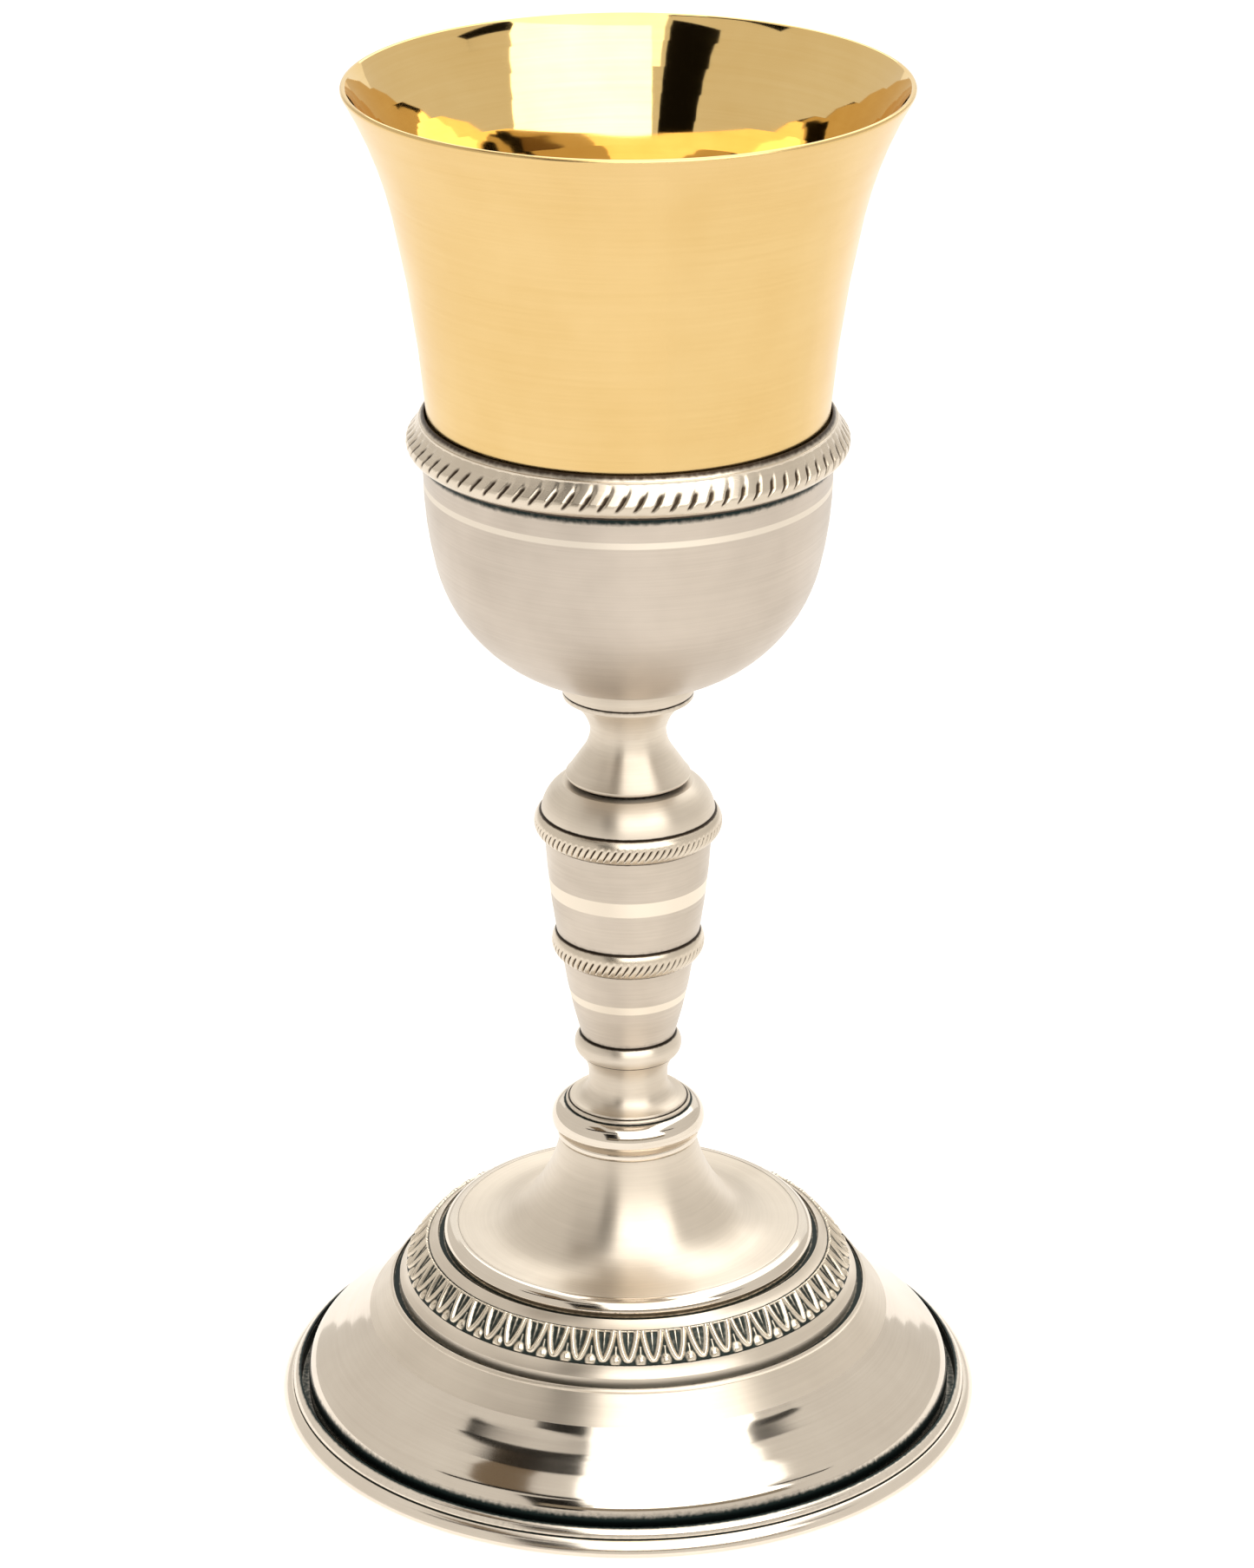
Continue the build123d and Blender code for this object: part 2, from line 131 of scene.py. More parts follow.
def turned(name, outline, marks=(), radius=0.2, facets=240, longest=4.0, change=None):
    """A solid of revolution from a closed outline of radius and height in millimetres.

    marks are the places, each with its reach, where the plate is darkened: oxide at joints and painted
    shade in grooves, recesses and under overhangs. Corners are rounded to radius, and longest is the
    longest straight left undivided. change(angle, radius, height) gives the radius of a point that isn't
    truly round."""
    outline = divided(softened(outline, radius), marks, longest)
    if sum(a.x * b.y - b.x * a.y for a, b in zip(outline, outline[1:] + outline[:1])) < 0:
        outline.reverse()
    angles = [math.tau * k / facets for k in range(facets)]
    points, rows, dark = [], [], []
    for point in outline:
        round_here = angles if point.x > 1e-6 else angles[:1]
        rows.append((len(points), len(round_here)))
        for angle in round_here:
            r = change(angle, point.x, point.y) if change else point.x
            points.append((r * math.cos(angle) * mm, r * math.sin(angle) * mm, point.y * mm))
        dark += [darkness(point, marks)] * len(round_here)
    faces = []
    for (low, low_count), (high, high_count) in zip(rows, rows[1:] + rows[:1]):
        for k in range(facets if low_count + high_count > 2 else 0):
            after = (k + 1) % facets
            lower = [low + k, low + after] if low_count > 1 else [low]
            upper = [high + after, high + k] if high_count > 1 else [high]
            faces.append(lower + upper)
    mesh = bpy.data.meshes.new(name)
    mesh.from_pydata(points, [], faces)
    mesh.polygons.foreach_set("use_smooth", [True] * len(mesh.polygons))
    mesh.attributes.new("tarnish", "FLOAT", "POINT").data.foreach_set("value", dark)
    return placed(name, mesh)


def linear(colour):
    """An sRGB hex colour as the linear one that a shader takes."""
    channels = [int(colour[i:i + 2], 16) / 255 for i in (1, 3, 5)]
    return [c / 12.92 if c <= 0.04045 else ((c + 0.055) / 1.055) ** 2.4 for c in channels] + [1.0]


def add(tree, kind, settings=(), **inputs):
    """Adds a node, sets what it is told, and links or sets its inputs, which are named or numbered i0, i1."""
    node = tree.nodes.new(kind)
    for key, value in dict(settings).items():
        setattr(node, key, value)
    for key, value in inputs.items():
        socket = node.inputs[int(key[1:])] if key[1:].isdigit() else node.inputs[key.replace("_", " ")]
        if isinstance(value, bpy.types.NodeSocket):
            tree.links.new(value, socket)
        else:
            socket.default_value = value
    return node


def lathe_lines(tree, spacing):
    """Noise drawn out into rings round the axis, as a brush or a tool leaves on a turning piece. It is
    the same all the way round but for a slow change, and spacing is the width of a line in millimetres."""
    place = add(tree, "ShaderNodeTexCoord").outputs["Object"]
    xyz = add(tree, "ShaderNodeSeparateXYZ", i0=place).outputs
    flat = add(tree, "ShaderNodeVectorMath", {"operation": "MULTIPLY"}, i0=place, i1=(1, 1, 0)).outputs[0]
    out = add(tree, "ShaderNodeVectorMath", {"operation": "LENGTH"}, i0=flat).outputs["Value"]
    way = add(tree, "ShaderNodeVectorMath", {"operation": "NORMALIZE"}, i0=flat).outputs[0]
    turn = add(tree, "ShaderNodeSeparateXYZ", i0=way).outputs
    scale = 1 / (spacing * mm)
    across = add(tree, "ShaderNodeMath", {"operation": "MULTIPLY"}, i0=out, i1=scale).outputs[0]
    upward = add(tree, "ShaderNodeMath", {"operation": "MULTIPLY"}, i0=xyz["Z"], i1=scale).outputs[0]
    point = add(tree, "ShaderNodeCombineXYZ", i0=across, i1=upward, i2=turn["X"]).outputs[0]
    return add(tree, "ShaderNodeTexNoise", {"noise_dimensions": "4D"}, Vector=point, W=turn["Y"],
               Scale=1.0, Detail=3.0, Roughness=0.65).outputs["Fac"]


def blank(name):
    """A new material with nothing in its node tree."""
    material = bpy.data.materials.new(name)
    material.use_nodes = True
    material.node_tree.nodes.clear()
    return material, material.node_tree


def plated(name, bright, shade, roughness, spread, lines, depth, oxide_and_shade_colour="#25302F", stretch=0.0):
    """A plated and finished metal. Its colour drifts between bright and shade, and it turns to the dark
    colour where the piece is marked: oxide at joints and in hollows, and painted shade in grooves,
    recesses and under overhangs. Brush lines ring it at a spacing of lines millimetres, which is coarser
    than life so that they show.

    roughness is the polish, spread is how far it varies, depth is the height of the brush lines in
    millimetres, and stretch draws highlights out across the lines."""
    material, tree = blank(name)
    place = add(tree, "ShaderNodeTexCoord").outputs["Object"]
    rings = lathe_lines(tree, lines)
    # Handling clouds the plate in patches about 14 mm across
    cloud = add(tree, "ShaderNodeTexNoise", Vector=place, Scale=1 / (14 * mm), Detail=3.0).outputs["Fac"]
    mixed = add(tree, "ShaderNodeMath", {"operation": "MULTIPLY_ADD"}, i0=rings, i1=0.6, i2=cloud).outputs[0]
    drift = add(tree, "ShaderNodeMapRange", i0=mixed, i1=0.55, i2=1.05).outputs[0]
    plate = add(tree, "ShaderNodeMix", {"data_type": "RGBA"}, i0=drift, i6=linear(shade),
                i7=linear(bright)).outputs[2]
    # The oxide and the painted shade break up at their edge, in specks about 0.8 mm across
    speck = add(tree, "ShaderNodeTexNoise", Vector=place, Scale=1 / (0.8 * mm), Detail=2.0).outputs["Fac"]
    tarnish = add(tree, "ShaderNodeAttribute", {"attribute_name": "tarnish"}).outputs["Fac"]
    rough_edge = add(tree, "ShaderNodeMath", {"operation": "MULTIPLY_ADD"}, i0=speck, i1=0.35,
                     i2=tarnish).outputs[0]
    covered = add(tree, "ShaderNodeMapRange", {"interpolation_type": "SMOOTHSTEP"}, i0=rough_edge, i1=0.3,
                  i2=0.85).outputs[0]
    # Where the piece is marked, the plate turns to the dark colour: oxide, and painted shade in grooves and
    # recesses
    colour = add(tree, "ShaderNodeMix", {"data_type": "RGBA"}, i0=covered, i6=plate,
                 i7=linear(oxide_and_shade_colour)).outputs[2]
    polish = add(tree, "ShaderNodeMapRange", i0=mixed, i1=0.4, i2=1.2, i3=roughness + spread,
                 i4=max(roughness - spread, 0.02)).outputs[0]
    dull = add(tree, "ShaderNodeMix", i0=covered, i2=polish, i3=0.5).outputs[0]
    relief = add(tree, "ShaderNodeBump", Height=rings, Distance=depth * mm, Strength=1.0).outputs[0]
    around = add(tree, "ShaderNodeTangent", {"direction_type": "RADIAL", "axis": "Z"}).outputs[0]
    shader = add(tree, "ShaderNodeBsdfPrincipled", Base_Color=colour, Metallic=1.0, Roughness=dull,
                 Normal=relief, Anisotropic=stretch, Anisotropic_Rotation=0.25, Tangent=around)
    add(tree, "ShaderNodeOutputMaterial", i0=shader.outputs[0])
    return material


def in_place(piece, node, body):
    """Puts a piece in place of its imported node."""
    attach(piece, body)
    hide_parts(node)
    return piece


def finished(piece, material, node, body="stand"):
    """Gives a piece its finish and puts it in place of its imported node."""
    piece.data.materials.append(material)
    return in_place(piece, node, body)


# Silver plate over brass, buffed on a soft wheel: warm, nearly a mirror, with hardly a line in it
polished_silver = plated("silver_plate_buffed", "#E8DED0", "#DCD1C3", 0.1, 0.03, 0.5, 0.0003)

table_z, moulding_top, moulding_radius = extent("base_moulding")
_, dome_lip_top, dome_radius = extent("foot_dome")
seat_z = table_z + 1.5
ledge_radius = dome_radius - 6.0
inner_edge = moulding_radius - 3.2
line_radius, line_z = moulding_radius - 1.7, moulding_top - 1.5
outline = [(ledge_radius, table_z), (moulding_radius - 1.2, table_z)]
outline += bow(outline[-1], (moulding_radius, table_z + 1.2), -0.35)
outline += bow(outline[-1], (line_radius + 0.16, line_z - 0.16), -0.25)
outline += [(line_radius - 0.22, line_z - 0.2), (line_radius - 0.08, line_z + 0.16)]
outline += bow(outline[-1], (inner_edge, moulding_top), -0.3)
outline += [(inner_edge, seat_z), (ledge_radius, seat_z)]
# Painted shade: the open groove under the dome's edge and the moulding's inner wall are darkened, out to
# about 2 mm; the scribed line holds oxide
groove_shade = [(dome_radius + 0.7, seat_z + 0.9, 2.1), (inner_edge, seat_z + 1.4, 1.8),
          (inner_edge, moulding_top, 0.8)]
scribed_line = (line_radius - 0.2, line_z - 0.1, 0.3)
# The moulding was buffed by hand on a softer mop, and is a little hazier
hazy_silver = plated("silver_plate_hand_buffed", "#F0E6D8", "#E6DBCD", 0.17, 0.04, 0.5, 0.001)
moulding = turned("foot_moulding_ring", outline, groove_shade + [scribed_line])
finished(moulding, hazy_silver, "base_moulding")


# ---- Foot dome
# The big dome of the foot. It is spun from brass sheet 1.2 mm thick over a chuck, silver plated, brushed
# round the top and buffed round the roll. It carries a ledge with a small upstanding lip for the tier.

sheet_wall = 1.2


def onward(start, heading, end):
    """The arc that leaves start along heading, and the heading with which it reaches end."""
    chord, heading = Vector(end) - Vector(start), Vector(heading).normalized()
    lean = math.atan2(chord.x * heading.y - chord.y * heading.x, chord.dot(heading))
    along = chord.normalized()
    return bow(start, end, chord.length / 2 * math.tan(lean / 2)), 2 * heading.dot(along) * along - heading


def inset(path, wall):
    """The path moved to its right by the thickness of the sheet, or to its left by a negative one."""
    points = [Vector(p) for p in path]
    moved = []
    for i, point in enumerate(points):
        ways = [b - a for a, b in zip(points[max(i - 1, 0):i + 1], points[max(i, 1):i + 2])]
        normals = [Vector((w.y, -w.x)).normalized() for w in ways if w.length > 1e-9]
        side = sum(normals, Vector((0, 0))).normalized()
        moved.append(point + side * (wall / max(side.dot(normals[0]), 0.4)))
    return [tuple(p) for p in moved]


def also(piece, material, test):
    """Gives a second finish to the faces whose middle, as radius and height, and normal pass the test."""
    piece.data.materials.append(material)
    for face in piece.data.polygons:
        middle, normal = face.center, face.normal
        outward = (normal.x * middle.x + normal.y * middle.y) / max(math.hypot(middle.x, middle.y), 1e-9)
        if test(math.hypot(middle.x, middle.y) / mm, middle.z / mm, outward):
            face.material_index = len(piece.data.materials) - 1


# Silver plate brushed round with a fine wire wheel while it turned: a soft grey-cream sheen, drawn out
# across the lines. Real lines are some 0.1 mm apart, and these are 0.45 mm so that they show.
brushed_silver = plated("silver_plate_brushed", "#E2D7C8", "#D3C8B9", 0.34, 0.05, 0.45, 0.004, stretch=0.8)
# The same plate on the inside of the foot, left as it came from the bath: greyer and duller
inside_silver = plated("silver_plate_unfinished", "#B9B0A4", "#9A9186", 0.42, 0.08, 0.6, 0.006)

dome_top = dome_lip_top - 0.7
lip_radius = 42.5
ledge_inner = lip_radius - 4.5
flare_start, roll_start = (lip_radius, dome_top), (dome_radius - 1.8, seat_z + 6.7)
flare = bow(flare_start, roll_start, -0.76)
heading = Vector(flare[-1]) - Vector(flare[-2])
roll, _ = onward(roll_start, heading, (dome_radius, seat_z + 3.3))
skirt = flare + roll + [(dome_radius, seat_z)]
lip = [(ledge_inner, dome_top), (lip_radius - 0.6, dome_top), (lip_radius - 0.6, dome_lip_top)]
lip += bow(lip[-1], (lip_radius, dome_top + 0.15), -0.12) + [flare_start]
inner = inset([(ledge_inner, dome_top), flare_start] + skirt, sheet_wall)
# Painted shade darkens the foot of the dome's roll down into the groove; the mark inside the lip is oxide at
# the joint with the tier
dark_places = [(lip_radius - 1.2, dome_top, 1.0), (dome_radius + 0.7, seat_z, 2.3),
               (dome_radius + 0.3, seat_z + 3.1, 2.2)]
dome = turned("foot_dome_shell", lip + skirt + inner[::-1], dark_places, facets=256, longest=0.9)
finished(dome, brushed_silver, "foot_dome")
buffed_below = dome_top - 4.6
also(dome, polished_silver, lambda r, z, outward: z < buffed_below and outward > 0)
also(dome, inside_silver, lambda r, z, outward: r < dome_radius - 0.3 and outward < -0.05)


# ---- Foot tier
# The ring between the dome and the trumpet, spun from the same sheet. Its slope has a sunk bed for the
# strip of leaves, and its lip stands up round the trumpet.

tier_base, tier_lip_top, tier_radius = extent("foot_tier")
_, trumpet_top, disc_radius = extent("foot_trumpet")
tier_top = tier_lip_top - 0.8
rim_radius = 34.4
bed_depth = 0.6             # the strip of leaves is as thick
strip_top, strip_bottom = Vector((35.6, tier_base + 8.5)), Vector((39.35, tier_base + 3.9))
strip_out = Vector((strip_top.y - strip_bottom.y, strip_bottom.x - strip_top.x)).normalized()
plain = [(rim_radius - 4.6, tier_top), (rim_radius, tier_top), tuple(strip_top), tuple(strip_bottom),
         (tier_radius, tier_base + 1.9), (tier_radius, tier_base)]
bed = [tuple(strip_top - strip_out * bed_depth), tuple(strip_bottom - strip_out * bed_depth)]
rim = [plain[0], (rim_radius - 0.6, tier_top), (rim_radius - 0.6, tier_lip_top)]
rim += bow(rim[-1], tuple(strip_top), -0.1) + bed + [tuple(strip_bottom)]
rim += bow(tuple(strip_bottom), plain[4], -0.12) + [plain[5]]
# The tier is darkened under the edge of the trumpet's disc by oxide at the joint and painted shade under the
# roll; the other marks are oxide at its joints and round the bed of leaves
dark_places = [(disc_radius + 0.5, tier_top, 0.85), (lip_radius - 1.2, tier_base, 0.8),
               (strip_top.x, strip_top.y, 0.35), (strip_bottom.x, strip_bottom.y, 0.3)]
tier = turned("foot_tier_shell", rim + inset(plain, sheet_wall)[::-1], dark_places, facets=320)
finished(tier, brushed_silver, "foot_tier")
also(tier, inside_silver, lambda r, z, outward: outward < -0.05 and z < tier_top - 0.5)


# ---- Leaf strip
# A strip of lancet leaves with a bud between each pair of tips. It is stamped in soft metal, bent round,
# soldered into the bed of the tier, plated, oxidised, and rubbed bright on its high points.

leaf_count = 56
strip_relief = 0.55         # height of the leaf outlines over the ground


def bump_at(distance, width):
    """A smooth ridge of a given half width, 1 on its line and 0 beside it."""
    return math.cos(min(abs(distance) / width, 1) * math.pi / 2) ** 2


def leaf_relief(across, down):
    """Height over the ground, as a share of the relief. across is -0.5 to 0.5 of a pitch, down is 0 to 1."""
    edge = 0.8 * bump_at(down - 0.02, 0.05)
    half = 0.38 * max(1 - (max(down, 0) / 0.92) ** 1.5, 0) ** 0.7
    outline_ridge = bump_at(abs(across) - half, 0.2) * (down < 0.92)
    tip = bump_at(math.hypot(across * 0.9, (down - 0.88) * 1.7), 0.17)
    blade = 0.16 * (abs(across) < half)
    rib = (0.7 - 0.8 * down) * bump_at(across, 0.07) * (down < 0.8)
    bud = bump_at(math.hypot((0.5 - abs(across)) * 0.8, (down - 0.88) * 0.9), 0.26)
    stalk = 0.45 * bump_at(0.5 - abs(across), 0.08) * (0.45 < down < 0.8)
    return max(edge, outline_ridge, tip, blade, rib, bud, stalk)


def leaf_tile():
    """One pitch of the strip at angle 0: its relief in front and a plain back, open at both sides."""
    columns, rows = 28, 36
    pitch = math.tau / leaf_count
    back = [strip_bottom - strip_out * bed_depth, strip_top - strip_out * bed_depth]
    points, dark, faces = [], [], []
    for row in range(rows + 3):
        for column in range(columns + 1):
            across = column / columns - 0.5
            height = 0.0
            if row <= rows:
                height = leaf_relief(across, row / rows)
                place = strip_top.lerp(strip_bottom, row / rows) + strip_out * (height * strip_relief)
            else:
                place = back[row - rows - 1]
            points.append((place.x * math.cos(across * pitch) * mm, place.x * math.sin(across * pitch) * mm,
                           place.y * mm))
            dark.append(max(0.0, 0.85 - 1.3 * height))
    wide = columns + 1
    for row in range(rows + 3):
        low, high = row * wide, ((row + 1) % (rows + 3)) * wide
        faces += [(low + k, high + k, high + k + 1, low + k + 1) for k in range(columns)]
    mesh = bpy.data.meshes.new("leaf_tile")
    mesh.from_pydata(points, [], faces)
    mesh.attributes.new("tarnish", "FLOAT", "POINT").data.foreach_set("value", dark)
    return placed("leaf_tile", mesh)


def node_group(name, sockets):
    """An empty Geometry Nodes tree with these inputs, each a name, a kind and a value."""
    tree = bpy.data.node_groups.new(name, "GeometryNodeTree")
    for label, kind, value in sockets:
        socket = tree.interface.new_socket(label, in_out="INPUT", socket_type=kind)
        if value is not None:
            socket.default_value = value
    tree.interface.new_socket("Geometry", in_out="OUTPUT", socket_type="NodeSocketGeometry")
    return tree


def made(piece, tree, values):
    """Runs a Geometry Nodes tree on a piece and keeps what it makes as a plain mesh."""
    modifier = piece.modifiers.new(tree.name, "NODES")
    modifier.node_group = tree
    for socket in tree.interface.items_tree:
        if socket.in_out == "INPUT" and socket.name in values:
            modifier[socket.identifier] = values[socket.name]
    result = piece.evaluated_get(bpy.context.evaluated_depsgraph_get())
    mesh = bpy.data.meshes.new_from_object(result)
    piece.modifiers.remove(modifier)
    piece.data = mesh
    mesh.polygons.foreach_set("use_smooth", [True] * len(mesh.polygons))
    return piece


def round_the_axis():
    """A tree that sets copies of a tile round the axis, and welds them where they meet."""
    tree = node_group("round_the_axis", [("Geometry", "NodeSocketGeometry", None),
                                         ("Tile", "NodeSocketObject", None), ("Count", "NodeSocketInt", 12),
                                         ("Finish", "NodeSocketMaterial", None)])
    given = add(tree, "NodeGroupInput").outputs
    tile = add(tree, "GeometryNodeObjectInfo", i0=given["Tile"]).outputs["Geometry"]
    spots = add(tree, "GeometryNodePoints", Count=given["Count"]).outputs[0]
    share = add(tree, "ShaderNodeMath", {"operation": "DIVIDE"}, i0=math.tau, i1=given["Count"]).outputs[0]
    index = add(tree, "GeometryNodeInputIndex").outputs[0]
    angle = add(tree, "ShaderNodeMath", {"operation": "MULTIPLY"}, i0=index, i1=share).outputs[0]
    euler = add(tree, "ShaderNodeCombineXYZ", i2=angle).outputs[0]
    turn = add(tree, "FunctionNodeEulerToRotation", i0=euler).outputs[0]
    copies = add(tree, "GeometryNodeInstanceOnPoints", Points=spots, Instance=tile, Rotation=turn).outputs[0]
    real = add(tree, "GeometryNodeRealizeInstances", i0=copies).outputs[0]
    welded = add(tree, "GeometryNodeMergeByDistance", Geometry=real, Distance=0.004 * mm).outputs[0]
    coated = add(tree, "GeometryNodeSetMaterial", Geometry=welded, Material=given["Finish"]).outputs[0]
    add(tree, "NodeGroupOutput", i0=coated)
    return tree


# Silver plate, blackened and then rubbed: blue-black ground, warm bright ridges
oxidised_silver = plated("silver_plate_oxidised", "#EFE4D2", "#D8CBB8", 0.24, 0.05, 0.5, 0.002, "#343B38")

tile = leaf_tile()
leaves = placed("leaf_strip", bpy.data.meshes.new("leaf_strip"))
made(leaves, round_the_axis(), {"Tile": tile, "Count": leaf_count, "Finish": oxidised_silver})
bpy.data.objects.remove(tile)
in_place(leaves, "leaf_frieze", "stand")


# ---- Trumpet
# The waisted top of the foot, spun from sheet in two sweeps that run out to a disc. It is brushed, with
# a buffed roll round the disc, and stands inside the lip of the tier.

bore = 3.05                 # every piece on the rod is bored to this radius
neck_radius, throat_from, throat_to = 11.9, math.radians(10), math.radians(41)
flare_radius = 11.5
disc_z = tier_top + 3.12
throat_z = disc_z + flare_radius * (1 - math.sin(throat_to))
throat_arc = (trumpet_top - throat_z) / (math.sin(throat_to) - math.sin(throat_from))
throat_radius = neck_radius + throat_arc * (math.cos(throat_from) - math.cos(throat_to))
sweep = [(throat_radius - throat_arc * (math.cos(a) - math.cos(throat_to)),
          throat_z + throat_arc * (math.sin(throat_to) - math.sin(a)))
         for a in (throat_from + (throat_to - throat_from) * i / 12 for i in range(13))]
sweep += [(throat_radius + flare_radius * (math.cos(throat_to) - math.cos(a)),
           throat_z + flare_radius * (math.sin(throat_to) - math.sin(a)))
          for a in (throat_to + (math.pi / 2 - throat_to) * i / 12 for i in range(1, 13))]
roll_inner = disc_radius - 2.6
sweep += [(roll_inner - 0.15, disc_z), (roll_inner, disc_z - 0.06), (roll_inner + 0.15, disc_z)]
sweep += bow(sweep[-1], (disc_radius, disc_z - 1.6), 0.5) + [(disc_radius, tier_top)]
plain = [p for p in sweep if abs(p[0] - roll_inner) > 0.01]
under_side = inset([(bore, trumpet_top)] + plain, sheet_wall)[::-1]
# The foot of the disc's roll is darkened by oxide at its joint with the tier and painted shade under the
# roll; the mark at the top is oxide under the collar ring
dark_places = [(disc_radius + 0.5, tier_top, 0.75), (neck_radius + 0.4, trumpet_top, 0.5)]
trumpet = turned("foot_trumpet_shell", [(bore, trumpet_top)] + sweep + under_side, dark_places, facets=320,
                 longest=1.5)
finished(trumpet, brushed_silver, "foot_trumpet")
also(trumpet, polished_silver, lambda r, z, outward: r > roll_inner and outward > -0.02)
also(trumpet, inside_silver, lambda r, z, outward: outward < -0.05)


# ---- Collar ring
# A thick buffed ring with a narrow fillet below it, turned from brass bar and plated. It hides the joint
# between the spun foot and the turned stem.

ring_base, ring_top, ring_radius = extent("foot_collar_ring")
fillet_radius, ring_top_radius = 12.3, 11.1
outline = [(bore, ring_base), (fillet_radius, ring_base)]
outline += bow(outline[-1], (fillet_radius, ring_base + 1.25), -0.15)
outline += [(12.0, ring_base + 1.4), (12.65, ring_base + 1.45)]
outline += through(outline[-1], (ring_radius - 0.02, ring_top - 3.1), (ring_top_radius, ring_top))
outline += [(bore, ring_top)]
dark_places = [(12.1, ring_base + 1.4, 0.35), (ring_top_radius, ring_top, 0.35), (12.5, ring_base, 0.3)]
collar_ring = turned("stem_collar_ring", outline, dark_places, radius=0.12)
finished(collar_ring, polished_silver, "foot_collar_ring")


# ---- Lower spool
# The waisted piece at the bottom of the stem: a step, a cove, a neck and a bead. It is turned from brass
# bar, plated and brushed, and stands on the collar ring, held by the rod through its bore.

spool_base, spool_top, _ = extent("lower_spool")
step_z = spool_base + 1.1
neck_z = step_z + 3.1
bead_z = spool_top - 3.8
spool_foot, step_radius, neck, bead_bottom, bead_widest, bead_top = 10.9, 10.0, 6.9, 8.5, 9.3, 8.3
outline = [(bore, spool_base), (spool_foot, spool_base), (spool_foot, spool_base + 0.45),
           (10.65, spool_base + 0.65), (10.35, spool_base + 0.65), (10.15, step_z), (step_radius, step_z)]
outline += bow((step_radius, step_z), (neck, neck_z), 0.9) + [(neck, neck_z + 1.4)]
rise, _ = onward((neck, neck_z + 1.4), (0, 1), (bead_bottom, bead_z))
outline += rise + through((bead_bottom, bead_z), (bead_widest, bead_z + 1.4), (bead_top, spool_top))
outline += [(bore, spool_top)]
dark_places = [(10.8, spool_base, 0.3), (10.4, spool_base + 0.65, 0.3), (bead_top, spool_top, 0.55),
               (bead_bottom, bead_z, 0.25)]
spool = turned("stem_spool", outline, dark_places, radius=0.12)

# The stem was brushed with a finer wheel than the foot, so it is a little brighter: lines 0.3 mm apart
stem_silver = plated("silver_plate_fine_brushed", "#E3D8C9", "#D3C8B9", 0.38, 0.04, 0.3, 0.003, "#3B332B",
                     stretch=0.85)
finished(spool, stem_silver, "lower_spool")


# ---- Knop drums
# Two tapered drums, turned from bar, brushed darker than the rest, each with a rougher band that is
# painted lighter as a highlight.


def highlight_banded(name, material, bottom, top, colour):
    """A copy of a finish with a band between two heights, in millimetres, made rougher and painted lighter as
    a highlight.
    """
    banded_material = material.copy()
    banded_material.name = name
    tree = banded_material.node_tree
    shader = next(n for n in tree.nodes if n.type == "BSDF_PRINCIPLED")
    place = add(tree, "ShaderNodeTexCoord").outputs["Object"]
    level = add(tree, "ShaderNodeSeparateXYZ", i0=place).outputs["Z"]
    off = add(tree, "ShaderNodeMath", {"operation": "SUBTRACT"}, i0=level,
              i1=(bottom + top) / 2 * mm).outputs[0]
    away = add(tree, "ShaderNodeMath", {"operation": "ABSOLUTE"}, i0=off).outputs[0]
    half = (top - bottom) / 2
    inside = add(tree, "ShaderNodeMapRange", i0=away, i1=(half - 0.08) * mm, i2=(half + 0.08) * mm, i3=1.0,
                 i4=0.0).outputs[0]
    # Painted highlight: inside the band the colour turns to the lighter colour
    was = shader.inputs["Base Color"].links[0].from_socket
    highlighted = add(tree, "ShaderNodeMix", {"data_type": "RGBA"}, i0=inside, i6=was,
                 i7=linear(colour)).outputs[2]
    tree.links.new(highlighted, shader.inputs["Base Color"])
    was = shader.inputs["Roughness"].links[0].from_socket
    matt = add(tree, "ShaderNodeMix", i0=inside, i2=was, i3=0.45).outputs[0]
    tree.links.new(matt, shader.inputs["Roughness"])
    return banded_material


def drum(name, node, bottom_radius, top_radius, swell, material):
    """A bored drum with a slightly swollen side, dark at both joints."""
    low, high, _ = extent(node)
    side = bow((bottom_radius, low), (top_radius, high), -swell)
    marks = [(bottom_radius, low, 0.5), (top_radius, high, 0.45)]
    piece = turned(name, [(bore, low), (bottom_radius, low)] + side + [(bore, high)], marks, radius=0.15,
                   longest=1.5)
    return finished(piece, material, node)


# Drum plate, brushed deeper than the foot and a shade darker: lines 0.35 mm apart
drum_silver = plated("silver_plate_coarse_brushed", "#D2C7BA", "#C1B6A9", 0.36, 0.06, 0.35, 0.005, "#3B332B",
                     stretch=0.75)
# The lighter colour painted on the drum bands as a highlight
band_highlight_colour = "#F3E8D8"
drum_low, _, _ = extent("knop_lower_drum")
lower_band = highlight_banded("silver_plate_lower_band", drum_silver, drum_low + 7.4, drum_low + 8.9, band_highlight_colour)
drum("knop_drum_lower", "knop_lower_drum", 8.2, 11.45, 0.28, lower_band)
drum_low, _, _ = extent("knop_upper_drum")
upper_band = highlight_banded("silver_plate_upper_band", drum_silver, drum_low + 7.6, drum_low + 10.3, band_highlight_colour)
drum("knop_drum_upper", "knop_upper_drum", 12.4, 14.4, 0.25, upper_band)


# ---- Rope beads
# Two rounded rings on the knop, turned, then knurled with a slanting wheel so that the lower half looks
# like a laid rope. Oxide stays in the notches.

notch_facets = 12           # faces round the ring for each notch


